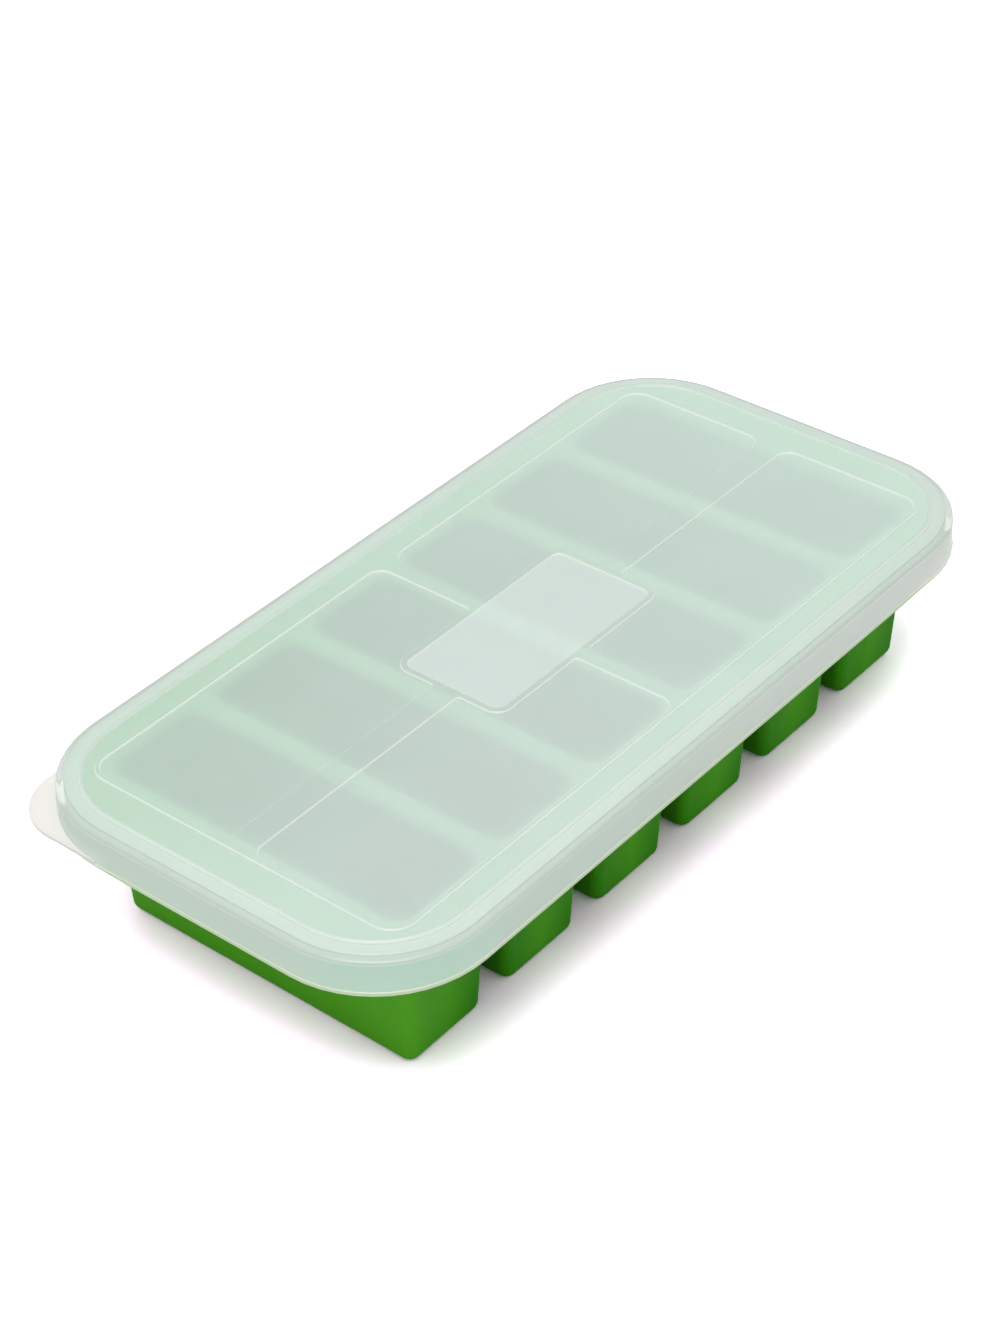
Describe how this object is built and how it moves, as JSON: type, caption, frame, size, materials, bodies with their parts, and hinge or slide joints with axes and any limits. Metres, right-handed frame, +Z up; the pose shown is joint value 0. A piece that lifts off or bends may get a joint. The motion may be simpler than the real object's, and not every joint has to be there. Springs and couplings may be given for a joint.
{
  "type": "silicone freezer tray",
  "caption": "Soft freezer tray with a row of deep portion wells, a steel-stiffened rim and a frosted lift-off lid with a corner pull tab, for freezing baby food or soup in portions.",
  "frame": {"origin": "on the table, under the middle of the tray and lid", "axes": "+X along the row of wells, +Y along each well, +Z up through the lid"},
  "size_m": [0.2716, 0.1346, 0.0514],
  "materials": {
    "silicone": "satin silicone",
    "band": "bright rolled strip",
    "lid": "frosted translucent"
  },
  "bodies": {
    "tray": {"tray": "silicone", "rim_band": "band"},
    "lid": {"lid": "lid"}
  },
  "joints": [
    {"name": "lid_lift", "type": "slide", "parent": "tray", "child": "lid", "axis": [0, 0, 1], "range_m": [0, 0.08]}
  ]
}
